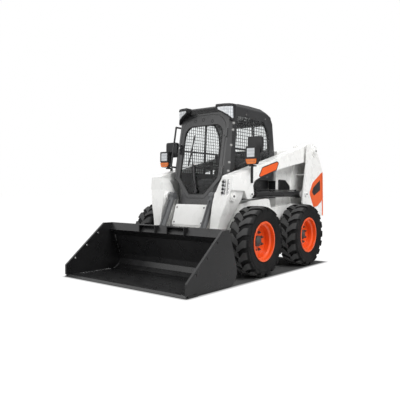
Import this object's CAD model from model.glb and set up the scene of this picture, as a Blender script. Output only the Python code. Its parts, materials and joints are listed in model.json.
# %% [markdown]
# Skid steer loader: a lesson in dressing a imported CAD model.
# The solids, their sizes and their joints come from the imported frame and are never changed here.
# This script gives them finishes, adds the small pieces that are too fine for the solids, and sets up a studio.
# Everything is in metres, +X is forward, +Y is the machine's left side, and the ground is z = 0.

# %% Load the frame
import json
import math
import bmesh
import bpy
from mathutils import Matrix, Vector


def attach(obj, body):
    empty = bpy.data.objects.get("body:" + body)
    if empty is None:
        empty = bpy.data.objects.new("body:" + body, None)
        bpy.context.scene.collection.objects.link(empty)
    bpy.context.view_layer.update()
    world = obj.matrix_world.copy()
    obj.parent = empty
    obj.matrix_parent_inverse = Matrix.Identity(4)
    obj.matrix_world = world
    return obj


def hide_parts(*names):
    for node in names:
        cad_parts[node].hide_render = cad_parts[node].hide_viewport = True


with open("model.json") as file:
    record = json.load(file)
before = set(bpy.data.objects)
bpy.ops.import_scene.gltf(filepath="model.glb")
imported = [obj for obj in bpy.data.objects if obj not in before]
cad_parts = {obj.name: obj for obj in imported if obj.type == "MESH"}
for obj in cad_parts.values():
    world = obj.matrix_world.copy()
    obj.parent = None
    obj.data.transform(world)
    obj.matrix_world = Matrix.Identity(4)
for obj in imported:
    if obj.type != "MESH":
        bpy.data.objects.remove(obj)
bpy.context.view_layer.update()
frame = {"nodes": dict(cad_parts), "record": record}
nodes = frame["nodes"]

# %% [markdown]
# The camera stands where the photographer stood: low, at the front left corner, with a normal lens.
# A camera could be aimed with a Track To constraint, but a plain rotation matrix keeps the small roll of the picture.

# %% Camera
EYE = Vector((4.7793, 3.4940, 0.9395))
YAW, PITCH, ROLL = (math.radians(a) for a in (218.478, -1.117, 0.309))


def make_camera():
    look = Vector((math.cos(PITCH) * math.cos(YAW), math.cos(PITCH) * math.sin(YAW), math.sin(PITCH)))
    right = look.cross(Vector((0, 0, 1))).normalized()
    up = right.cross(look)
    right, up = (math.cos(ROLL) * right + math.sin(ROLL) * up, math.cos(ROLL) * up - math.sin(ROLL) * right)
    data = bpy.data.cameras.new("studio_camera")
    data.lens, data.sensor_width = 42.86, 36.0
    data.clip_start, data.clip_end = 0.05, 200.0
    cam = bpy.data.objects.new("studio_camera", data)
    cam.matrix_world = Matrix.Translation(EYE) @ Matrix((right, up, -look)).transposed().to_4x4()
    bpy.context.scene.collection.objects.link(cam)
    bpy.context.scene.camera = cam
    return cam


make_camera()
bpy.context.scene.view_settings.view_transform = "Standard"
print("camera at", tuple(round(c, 3) for c in EYE))

# %% [markdown]
# The studio is a white sweep. What the camera, mirrors and glass see of it is plain white, set with Light Path,
# while the light that falls on the machine comes from a dimmer sky and three soft lamps.
# The floor is a pale sheet that shows white where it is lit and keeps the soft shadow.

# %% World and floor
SKY_LIGHT = 0.45
DARK_WALL = (-0.78, 0.62, 0.0)
WALL_LEVEL = 0.25
PAPER, PAPER_SHOWN, PAPER_IN_GLOSS = 0.8, 0.08, 0.15
FLOOR_GLOW = 0.97
FLOOR_IN_GLOSS = 0.35
GLOW_UNDER = 0.0
FOOTPRINT = ((0.2, 1.43), (0.0, 0.84))
SHADOW_EDGE = 0.07
FLOOR_HALF, FLOOR_DROP = 60, 0.0006


def link(tree, a, b):
    tree.links.new(a, b)


def span(tree, value, lo, hi, to_lo=0.0, to_hi=1.0):
    node = tree.nodes.new("ShaderNodeMapRange")
    node.inputs["From Min"].default_value = lo
    node.inputs["From Max"].default_value = hi
    for label, end in (("To Min", to_lo), ("To Max", to_hi)):
        if isinstance(end, (int, float)):
            node.inputs[label].default_value = end
        else:
            link(tree, end, node.inputs[label])
    link(tree, value, node.inputs["Value"])
    return node.outputs["Result"]


def maths(tree, how, a, b=None):
    node = tree.nodes.new("ShaderNodeMath")
    node.operation = how
    for i, v in enumerate((a, b)):
        if v is None:
            continue
        if isinstance(v, (int, float)):
            node.inputs[i].default_value = v
        else:
            link(tree, v, node.inputs[i])
    return node.outputs[0]


def seen_by(tree, *rays):
    path = tree.nodes.new("ShaderNodeLightPath")
    total = path.outputs["Is " + rays[0] + " Ray"]
    for ray in rays[1:]:
        total = maths(tree, "MAXIMUM", total, path.outputs["Is " + ray + " Ray"])
    return total


def make_world():
    world = bpy.data.worlds.new("studio_sky")
    bpy.context.scene.world = world
    world.use_nodes = True
    tree = world.node_tree
    back = tree.nodes["Background"]
    back.inputs["Color"].default_value = (1, 1, 1, 1)
    toward = tree.nodes.new("ShaderNodeVectorMath")
    toward.operation = "DOT_PRODUCT"
    link(tree, tree.nodes.new("ShaderNodeTexCoord").outputs["Generated"], toward.inputs[0])
    toward.inputs[1].default_value = DARK_WALL
    mirrored = span(tree, toward.outputs["Value"], 0.1, 0.95, 1.0, WALL_LEVEL)
    level = span(tree, seen_by(tree, "Glossy"), 0.0, 1.0, SKY_LIGHT, mirrored)
    shown = seen_by(tree, "Camera", "Transmission")
    link(tree, span(tree, shown, 0.0, 1.0, level, 1.0), back.inputs["Strength"])


def make_floor():
    bm = bmesh.new()
    bmesh.ops.create_grid(bm, x_segments=1, y_segments=1, size=FLOOR_HALF)
    bmesh.ops.translate(bm, vec=(0, 0, -FLOOR_DROP), verts=bm.verts)
    mesh = bpy.data.meshes.new("studio_floor")
    bm.to_mesh(mesh)
    bm.free()
    floor = bpy.data.objects.new("studio_floor", mesh)
    bpy.context.scene.collection.objects.link(floor)
    mat = bpy.data.materials.new("paper_sweep")
    mat.use_nodes = True
    tree = mat.node_tree
    tree.nodes.remove(tree.nodes["Principled BSDF"])
    paper = tree.nodes.new("ShaderNodeBsdfDiffuse")
    tone = span(tree, seen_by(tree, "Glossy"), 0.0, 1.0, PAPER, PAPER_IN_GLOSS)
    link(tree, span(tree, seen_by(tree, "Camera"), 0.0, 1.0, tone, PAPER_SHOWN), paper.inputs["Color"])
    glow = tree.nodes.new("ShaderNodeEmission")
    part = tree.nodes.new("ShaderNodeSeparateXYZ")
    link(tree, tree.nodes.new("ShaderNodeTexCoord").outputs["Object"], part.inputs[0])
    off = []
    for axis, (middle, half) in zip("XY", FOOTPRINT):
        gone = maths(tree, "ABSOLUTE", maths(tree, "SUBTRACT", part.outputs[axis], middle))
        off.append(maths(tree, "MAXIMUM", maths(tree, "SUBTRACT", gone, half), 0.0))
    away = maths(tree, "SQRT", maths(tree, "ADD", *(maths(tree, "MULTIPLY", d, d) for d in off)))
    level = span(tree, away, 0.0, SHADOW_EDGE, GLOW_UNDER, FLOOR_GLOW)
    in_gloss = maths(tree, "MULTIPLY", seen_by(tree, "Glossy"), FLOOR_IN_GLOSS)
    shown = maths(tree, "MAXIMUM", seen_by(tree, "Camera", "Transmission"), in_gloss)
    link(tree, maths(tree, "MULTIPLY", level, shown), glow.inputs["Strength"])
    both = tree.nodes.new("ShaderNodeAddShader")
    link(tree, paper.outputs[0], both.inputs[0])
    link(tree, glow.outputs[0], both.inputs[1])
    link(tree, both.outputs[0], tree.nodes["Material Output"].inputs["Surface"])
    mesh.materials.append(mat)


make_world()
make_floor()
print("sky", SKY_LIGHT, "floor glow", FLOOR_GLOW)

# %% Lamps
LAMPS = (
    ("key_softbox", (0.6, 5.2, 6.4), (-0.2, 0.3, 0.6), 3.6, 430),
    ("front_fill", (6.2, -1.4, 3.4), (0.4, 0.0, 0.7), 3.0, 120),
    ("top_softbox", (-1.0, -1.0, 7.0), (-0.2, 0.0, 1.0), 4.5, 190),
)
for name, place, aim, size, watts in LAMPS:
    lamp = bpy.data.lights.new(name, "AREA")
    lamp.size, lamp.energy = size, watts
    holder = bpy.data.objects.new(name, lamp)
    holder.location = place
    holder.rotation_euler = (Vector(aim) - Vector(place)).to_track_quat("-Z", "Y").to_euler()
    bpy.context.scene.collection.objects.link(holder)
print("lamps", [row[0] for row in LAMPS])

# %% [markdown]
# Finishes share a few surface effects, so each effect is a node group with named sockets, built once.
# A group gives out only what changes over the surface: a colour, a roughness or a height for a Bump node.
# Painting the effects with images would fix their scale and place; noise in object space fits every piece.


# %% Node group helpers
def new_group(name, ins, outs):
    group = bpy.data.node_groups.new(name, "ShaderNodeTree")
    for label, kind, value in ins:
        sock = group.interface.new_socket(label, in_out="INPUT", socket_type="NodeSocket" + kind)
        if value is not None:
            sock.default_value = value
    for label, kind in outs:
        group.interface.new_socket(label, in_out="OUTPUT", socket_type="NodeSocket" + kind)
    return group, group.nodes.new("NodeGroupInput"), group.nodes.new("NodeGroupOutput")


def noise(tree, vector, scale, detail=3.0, rough=0.55):
    node = tree.nodes.new("ShaderNodeTexNoise")
    node.inputs["Detail"].default_value = detail
    node.inputs["Roughness"].default_value = rough
    link(tree, vector, node.inputs["Vector"])
    if isinstance(scale, (int, float)):
        node.inputs["Scale"].default_value = scale
    else:
        link(tree, scale, node.inputs["Scale"])
    return node.outputs["Fac"]


def mix_colour(tree, fac, a, b):
    node = tree.nodes.new("ShaderNodeMix")
    node.data_type = "RGBA"
    link(tree, fac, node.inputs[0])
    link(tree, a, node.inputs[6])
    link(tree, b, node.inputs[7])
    return node.outputs[2]


# %% Paint film: soft tone change, dull patches and orange peel
def build_paint_film():
    g, i, o = new_group(
        "paint_film",
        (("Vector", "Vector", None), ("Colour", "Color", (1, 1, 1, 1)), ("Shade", "Color", (0.8, 0.8, 0.8, 1)),
         ("Gloss", "Float", 0.3), ("Dull", "Float", 0.45)),
        (("Colour", "Color"), ("Roughness", "Float"), ("Height", "Float")))
    broad = span(g, noise(g, i.outputs["Vector"], 2.3), 0.42, 0.75)
    link(g, mix_colour(g, broad, i.outputs["Colour"], i.outputs["Shade"]), o.inputs["Colour"])
    patch = noise(g, i.outputs["Vector"], 9.0, 6.0)
    link(g, span(g, patch, 0.35, 0.7, i.outputs["Gloss"], i.outputs["Dull"]), o.inputs["Roughness"])
    link(g, noise(g, i.outputs["Vector"], 420.0, 1.0), o.inputs["Height"])
    return g


# %% Ground dust: pale film that thins with height
def build_ground_dust():
    g, i, o = new_group(
        "ground_dust",
        (("Vector", "Vector", None), ("Colour", "Color", (0, 0, 0, 1)), ("Dust", "Color", (0.3, 0.27, 0.23, 1)),
         ("Top", "Float", 0.6), ("Amount", "Float", 0.2)),
        (("Colour", "Color"), ("Mask", "Float")))
    part = g.nodes.new("ShaderNodeSeparateXYZ")
    link(g, i.outputs["Vector"], part.inputs[0])
    low = maths(g, "SUBTRACT", 1.0, maths(g, "DIVIDE", part.outputs["Z"], i.outputs["Top"]))
    cloud = span(g, noise(g, i.outputs["Vector"], 14.0, 6.0, 0.7), 0.35, 0.75)
    film = maths(g, "MULTIPLY", maths(g, "MAXIMUM", low, 0.0), maths(g, "MULTIPLY", cloud, i.outputs["Amount"]))
    link(g, mix_colour(g, film, i.outputs["Colour"], i.outputs["Dust"]), o.inputs["Colour"])
    link(g, film, o.inputs["Mask"])
    return g


# %% Mould grain: the leather-like skin of moulded plastic
def build_mould_grain():
    g, i, o = new_group(
        "mould_grain",
        (("Vector", "Vector", None), ("Scale", "Float", 500.0), ("Gloss", "Float", 0.5), ("Dull", "Float", 0.65)),
        (("Roughness", "Float"), ("Height", "Float")))
    cell = g.nodes.new("ShaderNodeTexVoronoi")
    link(g, i.outputs["Vector"], cell.inputs["Vector"])
    link(g, i.outputs["Scale"], cell.inputs["Scale"])
    link(g, span(g, cell.outputs["Distance"], 0.0, 0.7), o.inputs["Height"])
    patch = noise(g, i.outputs["Vector"], 11.0)
    link(g, span(g, patch, 0.35, 0.7, i.outputs["Gloss"], i.outputs["Dull"]), o.inputs["Roughness"])
    return g


# %% Turned steel: fine rings and streaks of a machined rod
def build_turned_steel():
    g, i, o = new_group(
        "turned_steel",
        (("Vector", "Vector", None), ("Colour", "Color", (0.6, 0.6, 0.6, 1)), ("Oil", "Color", (0.35, 0.33, 0.3, 1))),
        (("Colour", "Color"), ("Roughness", "Float"), ("Height", "Float")))
    streak = noise(g, i.outputs["Vector"], 60.0, 5.0)
    link(g, mix_colour(g, span(g, streak, 0.5, 0.85), i.outputs["Colour"], i.outputs["Oil"]), o.inputs["Colour"])
    link(g, span(g, streak, 0.3, 0.8, 0.16, 0.34), o.inputs["Roughness"])
    link(g, noise(g, i.outputs["Vector"], 900.0, 1.0), o.inputs["Height"])
    return g


# %% Tyre skin: moulded rings on the sidewall, found from the distance to the nearest axle
AXLE_X = (0.278, -0.804)
AXLE_Z = 0.3875
WHEEL_Y = 0.713
TREAD_TOP = (0.371, 0.381)
RING_TURN, RING_LEVEL = 480.0, 0.3
RINGS_FROM, RINGS_TO = (0.226, 0.232), (0.30, 0.292)


def build_tyre_skin():
    g, i, o = new_group(
        "tyre_skin",
        (("Vector", "Vector", None), ("Colour", "Color", (0.02, 0.02, 0.02, 1)),
         ("Worn", "Color", (0.05, 0.05, 0.05, 1)), ("Top", "Color", (0.05, 0.05, 0.05, 1))),
        (("Colour", "Color"), ("Roughness", "Float"), ("Height", "Float")))
    part = g.nodes.new("ShaderNodeSeparateXYZ")
    link(g, i.outputs["Vector"], part.inputs[0])
    middle, half = (AXLE_X[0] + AXLE_X[1]) / 2, (AXLE_X[0] - AXLE_X[1]) / 2
    from_middle = maths(g, "ABSOLUTE", maths(g, "SUBTRACT", part.outputs["X"], middle))
    out = maths(g, "SUBTRACT", from_middle, half)
    rise = maths(g, "SUBTRACT", part.outputs["Z"], AXLE_Z)
    radius = maths(g, "SQRT", maths(g, "ADD", maths(g, "MULTIPLY", out, out), maths(g, "MULTIPLY", rise, rise)))
    rings = maths(g, "SINE", maths(g, "MULTIPLY", radius, RING_TURN))
    wall = maths(g, "MULTIPLY", span(g, radius, *RINGS_FROM), span(g, radius, *RINGS_TO))
    grit = noise(g, i.outputs["Vector"], 240.0, 4.0)
    raised = maths(g, "MULTIPLY", maths(g, "GREATER_THAN", rings, RING_LEVEL), wall)
    link(g, maths(g, "ADD", raised, maths(g, "MULTIPLY", grit, 0.25)), o.inputs["Height"])
    tone = noise(g, i.outputs["Vector"], 7.0, 5.0)
    skin = mix_colour(g, span(g, tone, 0.4, 0.75), i.outputs["Colour"], i.outputs["Worn"])
    link(g, mix_colour(g, span(g, radius, *TREAD_TOP), skin, i.outputs["Top"]), o.inputs["Colour"])
    link(g, span(g, grit, 0.3, 0.7, 0.55, 0.78), o.inputs["Roughness"])
    return g


# %% Lens ribs and cloth weave
HALF_TURN, SLAT_TURN = 3.1416, 1.2


def build_lens_ribs():
    g, i, o = new_group(
        "lens_ribs",
        (("Vector", "Vector", None), ("Colour", "Color", (1, 1, 1, 1)), ("Deep", "Color", (0.5, 0.5, 0.5, 1)),
         ("Pitch", "Float", 90.0)),
        (("Colour", "Color"), ("Height", "Float")))
    part = g.nodes.new("ShaderNodeSeparateXYZ")
    link(g, i.outputs["Vector"], part.inputs[0])
    waves = []
    for axis, turn in (("Y", HALF_TURN), ("Z", SLAT_TURN)):
        angle = maths(g, "MULTIPLY", part.outputs[axis], maths(g, "MULTIPLY", i.outputs["Pitch"], turn))
        waves.append(maths(g, "ABSOLUTE", maths(g, "SINE", angle)))
    rib = maths(g, "MULTIPLY", waves[0], span(g, waves[1], 0.0, 1.0, 0.6, 1.0))
    link(g, rib, o.inputs["Height"])
    link(g, mix_colour(g, span(g, rib, 0.1, 0.9), i.outputs["Deep"], i.outputs["Colour"]), o.inputs["Colour"])
    return g


def build_cloth_weave():
    g, i, o = new_group(
        "cloth_weave",
        (("Vector", "Vector", None), ("Colour", "Color", (0.1, 0.1, 0.1, 1)), ("Thread", "Color", (0.2, 0.2, 0.2, 1)),
         ("Pitch", "Float", 600.0)),
        (("Colour", "Color"), ("Height", "Float")))
    part = g.nodes.new("ShaderNodeSeparateXYZ")
    link(g, i.outputs["Vector"], part.inputs[0])
    turn = maths(g, "MULTIPLY", i.outputs["Pitch"], HALF_TURN)
    warp = maths(g, "SINE", maths(g, "MULTIPLY", part.outputs["Y"], turn))
    along = maths(g, "ADD", part.outputs["X"], part.outputs["Z"])
    weft = maths(g, "SINE", maths(g, "MULTIPLY", along, turn))
    cross = maths(g, "MULTIPLY", warp, weft)
    link(g, cross, o.inputs["Height"])
    fleck = maths(g, "ADD", maths(g, "MULTIPLY", cross, 0.3), noise(g, i.outputs["Vector"], 35.0, 4.0))
    link(g, mix_colour(g, span(g, fleck, 0.3, 0.9), i.outputs["Colour"], i.outputs["Thread"]), o.inputs["Colour"])
    return g


GROUPS = {
    "paint_film": build_paint_film(), "ground_dust": build_ground_dust(), "mould_grain": build_mould_grain(),
    "turned_steel": build_turned_steel(), "tyre_skin": build_tyre_skin(), "lens_ribs": build_lens_ribs(),
    "cloth_weave": build_cloth_weave(),
}
print("groups", sorted(GROUPS))

# %% [markdown]
# Each finish is one material with its own Principled shader. Constant values stay on the shader's sockets,
# and only what varies comes in from the groups, so the finish also survives an export.


# %% Finish helpers
def new_finish(name, **plain):
    mat = bpy.data.materials.new(name)
    mat.use_nodes = True
    tree = mat.node_tree
    shader = tree.nodes["Principled BSDF"]
    for label, value in plain.items():
        shader.inputs[label.replace("_", " ")].default_value = value
    where = tree.nodes.new("ShaderNodeTexCoord").outputs["Object"]
    return mat, tree, shader, where


def place_group(tree, name, where, **values):
    node = tree.nodes.new("ShaderNodeGroup")
    node.node_tree = GROUPS[name]
    link(tree, where, node.inputs["Vector"])
    for label, value in values.items():
        if isinstance(value, bpy.types.NodeSocket):
            link(tree, value, node.inputs[label])
        else:
            node.inputs[label].default_value = (*value, 1) if isinstance(value, tuple) else value
    return node


def add_bump(tree, shader, height, depth, strength=1.0):
    bump = tree.nodes.new("ShaderNodeBump")
    bump.inputs["Distance"].default_value = depth
    bump.inputs["Strength"].default_value = strength
    link(tree, height, bump.inputs["Height"])
    link(tree, bump.outputs["Normal"], shader.inputs["Normal"])


def painted(name, colour, shade, gloss, dull, dust=0.0, top=0.8, dust_colour=(0.3, 0.27, 0.23), **plain):
    mat, tree, shader, where = new_finish(name, **plain)
    film = place_group(tree, "paint_film", where, Colour=colour, Shade=shade, Gloss=gloss, Dull=dull)
    tone = film.outputs["Colour"]
    if dust:
        dusty = place_group(tree, "ground_dust", where, Colour=tone, Dust=dust_colour, Top=top, Amount=dust)
        tone = dusty.outputs["Colour"]
    link(tree, tone, shader.inputs["Base Color"])
    link(tree, film.outputs["Roughness"], shader.inputs["Roughness"])
    add_bump(tree, shader, film.outputs["Height"], 0.00012, 0.35)
    return mat


def moulded(name, colour, scale, gloss, dull, **plain):
    mat, tree, shader, where = new_finish(name, **plain)
    shade = tuple(c * 1.5 + 0.004 for c in colour)
    film = place_group(tree, "paint_film", where, Colour=colour, Shade=shade, Gloss=gloss, Dull=dull)
    grain = place_group(tree, "mould_grain", where, Scale=scale, Gloss=gloss, Dull=dull)
    link(tree, film.outputs["Colour"], shader.inputs["Base Color"])
    link(tree, grain.outputs["Roughness"], shader.inputs["Roughness"])
    add_bump(tree, shader, grain.outputs["Height"], 0.0003, 0.4)
    return mat


# %% Painted, moulded and bare finishes
FINISH = {
    "white_paint": painted(
        "white_paint", (0.84, 0.84, 0.825), (0.82, 0.82, 0.8), 0.25, 0.33, 0.25, 0.5,
        Coat_Weight=0.3, Coat_Roughness=0.12),
    "black_paint": painted(
        "black_paint", (0.009, 0.009, 0.0095), (0.012, 0.012, 0.0125), 0.26, 0.36, Specular_IOR_Level=0.6),
    "cab_grey": painted(
        "cab_grey", (0.019, 0.0195, 0.0205), (0.025, 0.0255, 0.0265), 0.26, 0.36, Specular_IOR_Level=0.8),
    "grey_paint": painted("grey_paint", (0.09, 0.093, 0.097), (0.12, 0.123, 0.127), 0.32, 0.46),
    "rim_orange": painted(
        "rim_orange", (0.82, 0.085, 0.006), (0.75, 0.075, 0.005), 0.28, 0.42, 0.2, 0.8, (0.6, 0.2, 0.08),
        Coat_Weight=0.25, Coat_Roughness=0.15),
    "trim_orange": painted("trim_orange", (0.8, 0.105, 0.008), (0.74, 0.095, 0.008), 0.3, 0.42),
    "dark_iron": painted("dark_iron", (0.03, 0.03, 0.032), (0.05, 0.048, 0.046), 0.5, 0.7, 0.3, 0.8),
    "black_plastic": moulded(
        "black_plastic", (0.014, 0.014, 0.015), 700.0, 0.42, 0.6, Specular_IOR_Level=0.4),
    "seal_rubber": moulded("seal_rubber", (0.011, 0.011, 0.011), 900.0, 0.6, 0.8, Specular_IOR_Level=0.3),
}


def steel(name, colour, oil, **plain):
    mat, tree, shader, where = new_finish(name, Metallic=1.0, **plain)
    skin = place_group(tree, "turned_steel", where, Colour=colour, Oil=oil)
    link(tree, skin.outputs["Colour"], shader.inputs["Base Color"])
    link(tree, skin.outputs["Roughness"], shader.inputs["Roughness"])
    add_bump(tree, shader, skin.outputs["Height"], 0.00006, 0.3)
    return mat


def tyre_rubber():
    mat, tree, shader, where = new_finish("tyre_rubber", Specular_IOR_Level=0.18)
    skin = place_group(
        tree, "tyre_skin", where,
        Colour=(0.007, 0.007, 0.0073), Worn=(0.013, 0.013, 0.013), Top=(0.06, 0.06, 0.06))
    dust = place_group(
        tree, "ground_dust", where,
        Colour=skin.outputs["Colour"], Dust=(0.07, 0.065, 0.06), Top=0.9, Amount=0.08)
    link(tree, dust.outputs["Colour"], shader.inputs["Base Color"])
    link(tree, skin.outputs["Roughness"], shader.inputs["Roughness"])
    add_bump(tree, shader, skin.outputs["Height"], 0.0014, 0.7)
    return mat


def lens(name, colour, deep, pitch, **plain):
    mat, tree, shader, where = new_finish(name, Roughness=0.08, Coat_Weight=0.6, Coat_Roughness=0.03, **plain)
    ribs = place_group(tree, "lens_ribs", where, Colour=colour, Deep=deep, Pitch=pitch)
    link(tree, ribs.outputs["Colour"], shader.inputs["Base Color"])
    add_bump(tree, shader, ribs.outputs["Height"], 0.002, 0.6)
    return mat


def clear_glass():
    mat, tree, shader, where = new_finish("clear_glass", Metallic=0.0, Transmission_Weight=1.0, IOR=1.25)
    haze = noise(tree, where, 3.0, 4.0)
    tint = place_group(
        tree, "ground_dust", where,
        Colour=(0.94, 0.955, 0.955), Dust=(0.85, 0.87, 0.86), Top=2.2, Amount=0.2)
    link(tree, tint.outputs["Colour"], shader.inputs["Base Color"])
    link(tree, span(tree, haze, 0.3, 0.8, 0.0, 0.04), shader.inputs["Roughness"])
    return mat


def seat_cloth():
    mat, tree, shader, where = new_finish("seat_cover", Roughness=0.85, Sheen_Weight=0.3, Sheen_Roughness=0.4)
    weave = place_group(
        tree, "cloth_weave", where, Colour=(0.022, 0.022, 0.024), Thread=(0.045, 0.045, 0.05), Pitch=330.0)
    link(tree, weave.outputs["Colour"], shader.inputs["Base Color"])
    add_bump(tree, shader, weave.outputs["Height"], 0.0005, 0.6)
    return mat


FINISH.update(
    pin_steel=steel("pin_steel", (0.62, 0.62, 0.63), (0.4, 0.39, 0.37)),
    bolt_zinc=steel("bolt_zinc", (0.42, 0.42, 0.41), (0.25, 0.24, 0.22)),
    mirror_silver=steel("mirror_silver", (0.85, 0.87, 0.88), (0.8, 0.82, 0.83)),
    tyre_rubber=tyre_rubber(),
    lamp_clear=lens("lamp_clear", (0.78, 0.8, 0.82), (0.26, 0.28, 0.3), 70.0),
    lamp_amber=lens("lamp_amber", (0.9, 0.22, 0.01), (0.45, 0.07, 0.004), 60.0),
    lamp_red=lens("lamp_red", (0.5, 0.015, 0.012), (0.2, 0.006, 0.006), 60.0),
    clear_glass=clear_glass(),
    seat_cover=seat_cloth(),
)
SLOT = {row["node"]: row["material_slot"] for row in frame["record"]["subparts"]}
for name, node in nodes.items():
    node.data.materials.clear()
    node.data.materials.append(FINISH[SLOT[name]])
print("finishes", len(FINISH), "on", len(nodes), "nodes")

# %% [markdown]
# New pieces start from a bmesh operator and are shaped by others. One helper finishes them all:
# it merges doubles, turns the faces outwards, links the object at the origin and lets it ride on its body.


# %% Piece helpers
SIDES = (("left", 1), ("right", -1))


def add_piece(name, bm, finish, body, slot=None, smooth=False):
    bmesh.ops.remove_doubles(bm, verts=bm.verts, dist=1e-6)
    bmesh.ops.recalc_face_normals(bm, faces=bm.faces)
    mesh = bpy.data.meshes.new(name)
    bm.to_mesh(mesh)
    bm.free()
    if smooth:
        mesh.polygons.foreach_set("use_smooth", [True] * len(mesh.polygons))
    mesh.materials.append(FINISH[finish])
    obj = bpy.data.objects.new(name, mesh)
    bpy.context.scene.collection.objects.link(obj)
    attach(obj, body)
    slot or (finish if finish in SLOT.values() else "black_paint")
    print(name, len(mesh.polygons), "faces on", body)
    return obj


def axes(origin, u, v, w):
    return Matrix.Translation(Vector(origin)) @ Matrix((Vector(u), Vector(v), Vector(w))).transposed().to_4x4()


def side_axes(s, y, x=0.0, z=0.0):
    return axes((x, s * y, z), (1, 0, 0), (0, 0, 1), (0, s, 0))


def disc(bm, at, low, high, depth, segments, lift=0.0):
    bmesh.ops.create_cone(bm, cap_ends=True, segments=segments, radius1=low, radius2=high, depth=depth,
                          matrix=at @ Matrix.Translation((0, 0, lift)))


# %% [markdown]
# The wheels are held by eight nuts on studs round a dark hub with a domed cap, and each rim has a valve stem.
# A nut is a six-sided cone with its corners bevelled; the cap is a profile spun once round the axle.

# %% Wheel nuts, hub caps and valves
NUT_CIRCLE, NUTS = 0.1015, 8
DISC_FACE, HUB_END = 0.005, 0.030
HUB_SEAT = HUB_END + 0.0003
HUB_PROFILE = ((0.0, 0.047), (0.022, 0.046), (0.038, 0.041), (0.046, 0.033), (0.052, HUB_SEAT), (0.0, HUB_SEAT))
NUT_R, NUT_H = 0.0135, 0.016
STUD_R, STUD_TIP, STUD_H, STUD_LIFT = 0.007, 0.006, 0.012, 0.023
VALVE_TURN, VALVE_PLACE = 0.39, (0.172, 0, 0.02)
WHEELS = (("fl", 0, 1), ("fr", 0, -1), ("rl", 1, 1), ("rr", 1, -1))


def hex_head(bm, at, radius, height, washer=1.25):
    disc(bm, at, radius * washer, radius * washer, height * 0.25, 14, lift=height * 0.125)
    made = bmesh.ops.create_cone(bm, cap_ends=True, segments=6, radius1=radius, radius2=radius, depth=height,
                                 matrix=at @ Matrix.Translation((0, 0, height * 0.6)))
    up = at.inverted()
    top = [e for v in made["verts"] for e in v.link_edges if all((up @ u.co).z > height for u in e.verts)]
    bmesh.ops.bevel(bm, geom=list(set(top)), offset=radius * 0.16, affect="EDGES", segments=1, profile=0.5,
                    material=-1)


def spun(profile, at, steps=32):
    bm = bmesh.new()
    ends = [bm.verts.new((r, 0, z)) for r, z in profile]
    edges = [bm.edges.new(pair) for pair in zip(ends, ends[1:])]
    bmesh.ops.spin(bm, geom=ends + edges, cent=(0, 0, 0), axis=(0, 0, 1), angle=2 * math.pi, steps=steps,
                   use_merge=True)
    bmesh.ops.transform(bm, matrix=at, verts=bm.verts)
    return bm


for tag, row, s in WHEELS:
    hub = axes((AXLE_X[row], s * WHEEL_Y, AXLE_Z), (s, 0, 0), (0, 0, 1), (0, s, 0))
    bm = bmesh.new()
    for k in range(NUTS):
        turn = Matrix.Rotation(2 * math.pi * (k + 0.5) / NUTS, 4, "Z")
        at = hub @ turn @ Matrix.Translation((NUT_CIRCLE, 0, DISC_FACE))
        hex_head(bm, at, NUT_R, NUT_H)
        disc(bm, at, STUD_R, STUD_TIP, STUD_H, 10, lift=STUD_LIFT)
    add_piece("wheel_nuts_" + tag, bm, "dark_iron", "wheel_" + tag)
    add_piece("hub_cap_" + tag, spun(HUB_PROFILE, hub), "dark_iron", "wheel_" + tag, smooth=True)
    bm = bmesh.new()
    stem = hub @ Matrix.Rotation(VALVE_TURN, 4, "Z") @ Matrix.Translation(VALVE_PLACE)
    disc(bm, stem, 0.006, 0.005, 0.034, 12)
    disc(bm, stem, 0.0075, 0.0065, 0.012, 12, lift=0.02)
    add_piece("valve_" + tag, bm, "black_plastic", "wheel_" + tag)

# %% [markdown]
# The colour marks on the arms and the uprights are thin plates with rounded corners, left blank.
# A plate is one face from a few corners, its corners bevelled as vertices, then extruded by its thickness.


# %% Blank colour plates
def plate(corners, at, thick, radius, rim=0.0):
    bm = bmesh.new()
    face = bm.faces.new([bm.verts.new((c[0], c[1], 0)) for c in corners])
    cuts = {}
    for vert, c in zip(face.verts, corners):
        cuts.setdefault(c[2] if len(c) > 2 else radius, []).append(vert)
    for cut, verts in cuts.items():
        bmesh.ops.bevel(bm, geom=verts, offset=cut, affect="VERTICES", segments=6, profile=0.5, material=-1)
    if rim:
        middle = list(bm.faces)
        bmesh.ops.inset_region(bm, faces=middle, thickness=rim, use_even_offset=True, use_boundary=True)
        bmesh.ops.delete(bm, geom=middle, context="FACES")
    out = bmesh.ops.extrude_face_region(bm, geom=list(bm.faces))
    raised = [v for v in out["geom"] if isinstance(v, bmesh.types.BMVert)]
    bmesh.ops.translate(bm, vec=(0, 0, thick), verts=raised)
    bmesh.ops.transform(bm, matrix=at, verts=bm.verts)
    return bm


ARM_BADGE = (
    (0.050, 1.112), (-0.024, 1.219), (-0.371, 1.306), (-0.420, 1.288), (-0.360, 1.190), (0.014, 1.093))
TAIL_PATCH = (
    (-1.583, 1.214), (-1.280, 1.053), (-1.191, 0.916), (-1.319, 0.723), (-1.447, 0.734), (-1.593, 0.809))
TAIL_STRIP = ((-1.636, 0.600), (-1.609, 1.185), (-1.598, 1.215), (-1.573, 1.180), (-1.602, 0.600))
TAIL_PLATE = ((-1.52, 1.10), (-1.30, 0.985), (-1.27, 0.93), (-1.33, 0.88), (-1.53, 0.955))
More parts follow.
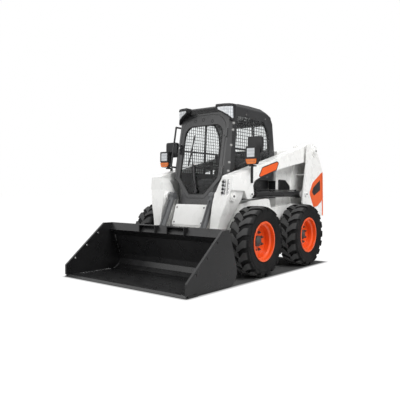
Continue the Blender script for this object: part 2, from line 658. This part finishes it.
# name, outline, distance from the middle, thickness, corner radius, rim, finish, body, slot
PLATES = (
    ("arm_badge", ARM_BADGE, 0.6002, 0.0008, 0.016, 0.0, "trim_orange", "lift_arms", "rim_orange"),
    ("arm_badge_edge", ARM_BADGE, 0.6004, 0.0009, 0.016, 0.012, "black_plastic", "lift_arms", None),
    ("tail_patch", TAIL_PATCH, 0.6402, 0.0008, 0.03, 0.0, "trim_orange", "chassis", "rim_orange"),
    ("tail_strip", TAIL_STRIP, 0.6402, 0.0008, 0.006, 0.0, "trim_orange", "chassis", "rim_orange"),
    ("tail_plate", TAIL_PLATE, 0.6408, 0.0010, 0.012, 0.0, "black_plastic", "chassis", None),
)
for side, s in SIDES:
    for name, corners, y, thick, radius, rim, finish, body, slot in PLATES:
        bm = plate(corners, side_axes(s, y), thick, radius, rim)
        add_piece(f"{name}_{side}", bm, finish, body, slot)

# %% [markdown]
# Pins end in round covers held by one bolt. Seen close, those small dark heads tell the eye how large the machine is.
# A cover is a short profile spun round its pin, so its rim is rounded without a modifier.

# %% Pin covers
PIN_COVERS = (
    ("lift_pin", "lift_arms", (0.203, 0.902), 0.6001, 0.034),
    ("tilt_pin", "lift_arms", (0.525, 0.880), 0.5751, 0.036),
    ("pivot", "chassis", (-1.321, 1.489), 0.6620, 0.044),
    ("lift_base", "chassis", (-1.080, 0.902), 0.6500, 0.031),
)
COVER_H, COVER_BOLT = 0.007, (0.0105, 0.007)
for name, body, (x, z), y, r in PIN_COVERS:
    for side, s in SIDES:
        at = side_axes(s, y, x, z)
        cover = ((0.0, COVER_H), (r - 0.006, COVER_H), (r - 0.002, 0.0055), (r, 0.002), (r, 0.0), (0.0, 0.0))
        add_piece(f"{name}_cover_{side}", spun(cover, at), "white_paint", body)
        bm = bmesh.new()
        hex_head(bm, at @ Matrix.Translation((0, 0, COVER_H + 0.0001)), *COVER_BOLT)
        add_piece(f"{name}_bolt_{side}", bm, "dark_iron", body)

# %% [markdown]
# Bolts hold the cab's side walls, its left front pillar, the front panel and the axle housings.
# They could be instances, but joined heads on one body export as a single clean mesh.

# %% Bolts
CAB_HALF, SIDE_TAPER, TAPER_FROM = 0.420, 0.0486, 1.05
CAB_BOLTS = ((-0.014, 1.845), (-0.45, 1.845), (0.20, 1.118), (-0.12, 1.118), (-0.44, 1.118), (-0.595, 1.30))
DOOR = Matrix.Translation((0.432, 0, 1.053)) @ Matrix.Rotation(math.radians(-10.65), 4, "Y")
PILLAR = axes((-0.0355, 0.3975, 0.0), (0, 0, 1), (-0.630, 0.776, 0), (0.776, 0.630, 0))
PILLAR_BOLTS = (0.12, 0.22, 0.42, 0.60, 0.68)
PANEL = axes((0.5564, 0, 0.770), (0, 1, 0), (0.296, 0, -0.955), (0.955, 0, 0.296))
PANEL_BOLTS = ((-0.2, 0.2), (0.025, 0.203))
HOUSING_BOLTS, HOUSING_CIRCLE, HOUSING_FACE = 8, 0.078, 0.556


def wall_y(z):
    return CAB_HALF - SIDE_TAPER * (z - TAPER_FROM)


def bolt_rows():
    walls = [(side_axes(s, wall_y(z), x, z), 0.009) for x, z in CAB_BOLTS for s in (1, -1)]
    yield "cab_bolts", "bolt_zinc", walls
    pillar = [(DOOR @ PILLAR @ Matrix.Translation((h, 0, 0)), 0.012) for h in PILLAR_BOLTS]
    yield "pillar_bolts", "bolt_zinc", pillar
    panel = [(PANEL @ Matrix.Translation((y, d, 0)), 0.008) for y in PANEL_BOLTS[0] for d in PANEL_BOLTS[1]]
    yield "panel_bolts", "dark_iron", panel
    hubs = [axes((x, s * HOUSING_FACE, AXLE_Z), (s, 0, 0), (0, 0, 1), (0, s, 0)) for x in AXLE_X for s in (1, -1)]
    turns = [Matrix.Rotation(2 * math.pi * k / HOUSING_BOLTS, 4, "Z") for k in range(HOUSING_BOLTS)]
    out = Matrix.Translation((HOUSING_CIRCLE, 0, 0))
    yield "housing_bolts", "dark_iron", [(hub @ turn @ out, 0.009) for hub in hubs for turn in turns]


for name, finish, heads in bolt_rows():
    bm = bmesh.new()
    for at, radius in heads:
        hex_head(bm, at, radius, radius * 0.62)
    add_piece(name, bm, finish, "chassis")

# %% [markdown]
# A weld is a bead that follows the joint of two plates, with the ripple that the torch leaves.
# One end face is extruded from station to station along the path, and the ring swells and shrinks a little on its way.

# %% Weld beads
BEAD_STEP, BEAD_RIPPLE = 0.008, 0.10
HEEL_ARC = ((0.9989, 0.140), 0.128, -90.0, -199.2)
FLOOR_END, BACK_END = (1.488, 0.012), (0.9578, 0.4116)
SEAM_Y, SEAM_BEAD = 0.8385, 0.007
TUBE_X, TUBE_Y, TUBE_Z, TUBE_R, TUBE_BEAD = 0.630, 0.3645, 0.400, 0.051, 0.005


def even_steps(path):
    for a, b in zip(path, path[1:]):
        count = max(1, round((b - a).length / BEAD_STEP))
        for k in range(count):
            yield a.lerp(b, k / count)
    yield path[-1]


def bead(path, radius, sides=8, ripple=BEAD_RIPPLE):
    bm = bmesh.new()
    points = list(even_steps([Vector(p) for p in path]))
    frames = []
    for k, p in enumerate(points):
        ahead = points[min(k + 1, len(points) - 1)] - points[max(k - 1, 0)]
        swell = 1.0 + ripple * math.sin(k * 2.1)
        turn = ahead.to_track_quat("Z", "Y").to_matrix().to_4x4()
        frames.append(Matrix.Translation(p) @ turn @ Matrix.Scale(swell, 4))
    bmesh.ops.create_circle(bm, cap_ends=True, segments=sides, radius=radius, matrix=frames[0])
    end = list(bm.faces)
    for before, after in zip(frames, frames[1:]):
        out = bmesh.ops.extrude_face_region(bm, geom=end, use_keep_orig=before is frames[0])
        moved = [v for v in out["geom"] if isinstance(v, bmesh.types.BMVert)]
        bmesh.ops.transform(bm, matrix=after @ before.inverted(), verts=moved)
        end = [f for f in out["geom"] if isinstance(f, bmesh.types.BMFace)]
    return bm


def arc(middle, radius, start, stop, count=14):
    for k in range(count + 1):
        a = math.radians(start + (stop - start) * k / count)
        yield middle[0] + radius * math.cos(a), middle[1] + radius * math.sin(a)


for side, s in SIDES:
    seam = [(x, s * SEAM_Y, z) for x, z in (FLOOR_END, *arc(*HEEL_ARC), BACK_END)]
    add_piece("bucket_weld_" + side, bead(seam, SEAM_BEAD), "black_paint", "bucket", smooth=True)
    ring = [(TUBE_X + u, s * TUBE_Y, TUBE_Z + w) for u, w in arc((0, 0), TUBE_R, 0, 360, 40)]
    add_piece("cross_tube_weld_" + side, bead(ring, TUBE_BEAD), "white_paint", "lift_arms", smooth=True)

# %% [markdown]
# Dark rolled rims frame the work lamps, thick along the top and thin below. They are the weld's sweep without the ripple.
# The road lamps get a flat bezel, which is a plate with its middle taken out.

# %% Lamp rims and bezels
TOP_RIM = (
    (0.364, 0.222, 1.886), (0.363, 0.222, 1.914), (0.349, 0.314, 1.914), (0.325, 0.366, 1.914),
    (0.287, 0.393, 1.914), (0.264, 0.398, 1.914))
LOW_RIM = (
    (0.368, 0.223, 1.886), (0.367, 0.237, 1.868), (0.356, 0.305, 1.835), (0.337, 0.358, 1.802),
    (0.301, 0.393, 1.764))
RIMS = (("top", TOP_RIM, 0.015), ("low", LOW_RIM, 0.008))
BEZEL_X = 0.3021
BEZEL = ((0.582, 1.298), (0.716, 1.298), (0.716, 1.432), (0.582, 1.432))
for side, s in SIDES:
    for part, rim, radius in RIMS:
        bm = bead([(x, s * y, z) for x, y, z in rim], radius, sides=12, ripple=0.0)
        add_piece(f"lamp_rim_{part}_{side}", bm, "black_plastic", "chassis", smooth=True)
    at = axes((BEZEL_X, 0, 0), (0, s, 0), (0, 0, 1), (1, 0, 0))
    add_piece("lamp_bezel_" + side, plate(BEZEL, at, 0.0055, 0.014, rim=0.017), "black_plastic", "lift_arms")

# %% [markdown]
# Rubber seals run round the door's pane and the rear window. Each is the pane's own outline with its middle taken out.

# %% Window seals
DOOR_FACE = DOOR @ axes((-0.0038, 0, 0), (0, 1, 0), (0, 0, 1), (1, 0, 0))
DOOR_PANE = (
    (-0.2848, 0.6758, 0.118), (0.2848, 0.6758, 0.118), (0.2848, 0.04, 0.012), (0.1118, -0.1598, 0.012),
    (-0.1118, -0.1598, 0.012), (-0.2848, 0.04, 0.012))
REAR_LEAN = Vector((0.027, 0, 0.410)).normalized()
REAR_FACE = axes((-0.6521, 0, 1.390), (0, 1, 0), REAR_LEAN, (-REAR_LEAN.z, 0, REAR_LEAN.x))
REAR_PANE = ((-0.318, 0.066), (0.318, 0.066), (0.308, 0.416), (-0.308, 0.416))
add_piece("door_seal", plate(DOOR_PANE, DOOR_FACE, 0.0048, 0.012, rim=0.013), "seal_rubber", "front_door")
add_piece("rear_window_seal", plate(REAR_PANE, REAR_FACE, 0.004, 0.045, rim=0.02), "seal_rubber", "chassis")

# %% [markdown]
# Round plugs close the holes in the door's header, a rail parts each side window, and the mirrors get their glass.
# The rail is a cube with its edges rounded; the glass is a plate like the colour marks.

# %% Header plugs, window rails and mirror glass
HEADER_PLUGS = ((-0.142, 0.735), (-0.023, 0.743), (0.113, 0.717))
RAIL_Z, RAIL_W, RAIL_H, RAIL_X = 1.43, 0.012, 0.022, (-0.535, 0.248)
RAIL_DEEP = 0.0262
MIRROR_X = 0.1499
MIRROR_PANE = ((0.546, 1.376), (0.708, 1.376), (0.708, 1.546), (0.546, 1.546))


def soft_box(size, at, edge):
    bm = bmesh.new()
    bmesh.ops.create_cube(bm, size=1.0, matrix=at @ Matrix.Diagonal((*size, 1.0)))
    bmesh.ops.bevel(bm, geom=list(bm.edges), offset=edge, affect="EDGES", segments=3, profile=0.5, material=-1)
    return bm


bm = bmesh.new()
for y, z in HEADER_PLUGS:
    spot = DOOR @ axes((0.0002, y, z), (0, 1, 0), (0, 0, 1), (1, 0, 0))
    disc(bm, spot, 0.0195, 0.017, 0.004, 28, lift=-0.0024)
add_piece("header_plugs", bm, "seal_rubber", "front_door")
for side, s in SIDES:
    middle = Matrix.Translation((sum(RAIL_X) / 2, s * (wall_y(RAIL_Z) - RAIL_DEEP), RAIL_Z))
    bm = soft_box((RAIL_X[1] - RAIL_X[0], RAIL_W, RAIL_H), middle, 0.002)
    add_piece("window_rail_" + side, bm, "black_paint", "chassis")
for side, s in SIDES:
    at = axes((MIRROR_X, 0, 0), (0, s, 0), (0, 0, 1), (-1, 0, 0))
    add_piece("mirror_glass_" + side, plate(MIRROR_PANE, at, 0.002, 0.018), "mirror_silver", "lift_arms")

# %% [markdown]
# Hands and boots meet the machine at its latches, steps, levers and couplers, so these get grips, dots, boots and caps.

# %% Step dots
STEP_Y, STEP_TOP = (("right", -0.330), ("left", 0.085)), 0.561
DOT_ROWS, DOTS, DOT_FIRST, DOT_PITCH = (1.014, 1.031, 1.048), 9, 0.0225, 0.025
for tag, y0 in STEP_Y:
    bm = bmesh.new()
    for i in range(DOTS):
        for x in DOT_ROWS:
            at = Matrix.Translation((x, y0 + DOT_FIRST + i * DOT_PITCH, STEP_TOP + 0.001))
            disc(bm, at, 0.006, 0.0045, 0.003, 10)
    add_piece("step_dots_" + tag, bm, "black_paint", "bucket")

# %% Lever boots, buttons and the lap bar's sleeve
LEVER_X, LEVER_Y, LEVER_Z = 0.150, 0.290, 1.0102
BUTTON_OFF, BUTTON_Z = 0.010, 1.261
BOOT = (
    (0.0165, 0.0), (0.040, 0.0), (0.040, 0.008), (0.031, 0.015), (0.036, 0.022), (0.026, 0.029),
    (0.031, 0.036), (0.021, 0.043), (0.0165, 0.050), (0.0165, 0.0))
BAR = Matrix.Translation((0.060, 0, 1.232)) @ Matrix.Rotation(math.pi / 2, 4, "X")
SLEEVE = (
    (0.0132, -0.19), (0.018, -0.19), (0.021, -0.186), (0.021, 0.186), (0.018, 0.19), (0.0132, 0.19),
    (0.0132, -0.19))
for side, s in SIDES:
    foot = Matrix.Translation((LEVER_X, s * LEVER_Y, LEVER_Z))
    add_piece("lever_boot_" + side, spun(BOOT, foot), "seal_rubber", "chassis", smooth=True)
    bm = bmesh.new()
    for u in (-BUTTON_OFF, BUTTON_OFF):
        disc(bm, Matrix.Translation((LEVER_X + u, s * LEVER_Y, BUTTON_Z)), 0.006, 0.005, 0.004, 14)
    add_piece("lever_buttons_" + side, bm, "trim_orange", "chassis", "rim_orange")
add_piece("bar_sleeve", spun(SLEEVE, BAR), "seal_rubber", "chassis", smooth=True)

# %% Coupler caps
COUPLERS, COUPLER_Y, CAP_OUT = (0.918, 0.958, 0.998, 1.037), 0.492, 0.0225
LEG_X, LEG_BEND, LEG_LEAN_UP, LEG_LEAN_DOWN = 0.592, 0.950, 1 / 9, 0.27


def leg_front(z):
    return LEG_X - (z - LEG_BEND) * (LEG_LEAN_UP if z > LEG_BEND else LEG_LEAN_DOWN)


bm = bmesh.new()
for z in COUPLERS:
    at = axes((leg_front(z) + CAP_OUT, COUPLER_Y, z), (0, 1, 0), (0, 0, 1), (1, 0, 0))
    disc(bm, at, 0.0135, 0.0125, 0.012, 24)
add_piece("coupler_caps", bm, "black_plastic", "lift_arms")

# %% Door and gate latches
LATCH = ((0.0, 0.007), (0.008, 0.006), (0.0105, 0.003), (0.0105, 0.0), (0.0, 0.0))
LATCH_AT = DOOR @ axes((0.0381, -0.311, 0.40), (0, 1, 0), (0, 0, 1), (1, 0, 0))
GATE_FACE = axes((-1.6402, 0, 0), (0, -1, 0), (0, 0, 1), (-1, 0, 0))
GATE_PLATE = ((-0.40, 0.78), (-0.362, 0.78), (-0.362, 0.92), (-0.40, 0.92))
GRIP_SIZE, GRIP_PLACE = (0.018, 0.10, 0.006), (-0.381, 0.85, 0.0056)
add_piece("door_latch", spun(LATCH, LATCH_AT, 20), "bolt_zinc", "front_door", "pin_steel")
add_piece("gate_latch_plate", plate(GATE_PLATE, GATE_FACE, 0.0025, 0.01), "black_plastic", "rear_door")
grip = soft_box(GRIP_SIZE, GATE_FACE @ Matrix.Translation(GRIP_PLACE), 0.002)
add_piece("gate_latch_grip", grip, "dark_iron", "rear_door")

# %% [markdown]
# The seat's pads are stuffed, so they are not left as blocks. Each pad is a copy of its solid made a little smaller,
# remeshed into small even faces and blown up by Cloth with inner pressure, then held to the room that its solid had.
# Sculpting the crown by hand would also work, but the pressure rounds every edge at once and gives the same pad each run.

# %% Seat pads
VOXEL, SHRINK, SWELL, PRESSURE, LAST_FRAME = 0.006, 0.013, 0.017, 4.0, 20
CHANNEL_Y, CHANNEL_W, CHANNEL_D = 0.125, 0.007, 0.006


def islands(bm):
    left = set(bm.verts)
    while left:
        group, edge = set(), [left.pop()]
        while edge:
            v = edge.pop()
            group.add(v)
            near = {e.other_vert(v) for e in v.link_edges} & left
            left -= near
            edge.extend(near)
        yield group


def pad_mesh(node, index):
    bm = bmesh.new()
    bm.from_mesh(nodes[node].data)
    bmesh.ops.remove_doubles(bm, verts=bm.verts, dist=1e-5)
    groups = sorted(islands(bm), key=lambda g: sum(v.co.z for v in g) / len(g))
    bmesh.ops.delete(bm, geom=[v for k, g in enumerate(groups) if k != index for v in g], context="VERTS")
    bmesh.ops.recalc_face_normals(bm, faces=bm.faces)
    bmesh.ops.dissolve_limit(bm, angle_limit=0.02, verts=bm.verts, edges=bm.edges)
    return bm


def settled(obj):
    graph = bpy.context.evaluated_depsgraph_get()
    mesh = bpy.data.meshes.new_from_object(obj.evaluated_get(graph))
    obj.modifiers.clear()
    old, obj.data = obj.data, mesh
    bpy.data.meshes.remove(old)


def shrink_to(obj, amount):
    low, high = (Vector(f(v.co[i] for v in obj.data.vertices) for i in range(3)) for f in (min, max))
    middle, half = (low + high) / 2, (high - low) / 2
    for v in obj.data.vertices:
        for i in range(3):
            v.co[i] = middle[i] + (v.co[i] - middle[i]) * (1 - amount / half[i])


def blow_up(obj):
    remesh = obj.modifiers.new("even_faces", "REMESH")
    remesh.mode, remesh.voxel_size = "VOXEL", VOXEL
    settled(obj)
    start = [v.co.copy() for v in obj.data.vertices]
    cloth = obj.modifiers.new("stuffing", "CLOTH")
    cloth.settings.quality = 4
    cloth.settings.use_pressure = True
    cloth.settings.uniform_pressure_force = PRESSURE
    cloth.settings.effector_weights.gravity = 0.0
    cloth.point_cache.frame_start, cloth.point_cache.frame_end = 1, LAST_FRAME
    for k in range(1, LAST_FRAME + 1):
        bpy.context.scene.frame_set(k)
    settled(obj)
    bpy.context.scene.frame_set(1)
    for v, rest in zip(obj.data.vertices, start):
        moved = v.co - rest
        v.co = rest + moved * min(1.0, SWELL / max(moved.length, 1e-9))


def sew_channels(obj):
    for v in obj.data.vertices:
        off = abs(abs(v.co.y) - CHANNEL_Y) / CHANNEL_W
        v.co -= v.normal * CHANNEL_D * math.exp(-off * off)


for index, name in enumerate(("seat_pad", "seat_back_pad")):
    pad = add_piece(name, pad_mesh("seat_cushions", index), "seat_cover", "chassis", smooth=True)
    shrink_to(pad, SHRINK)
    blow_up(pad)
    sew_channels(pad)
    pad.data.polygons.foreach_set("use_smooth", [True] * len(pad.data.polygons))
    rounder = pad.modifiers.new("rounder", "SUBSURF")
    rounder.levels = rounder.render_levels = 1
    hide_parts("seat_cushions")
    print(name, len(pad.data.vertices), "points")

# %% Write the sizes and finish
print("size written")
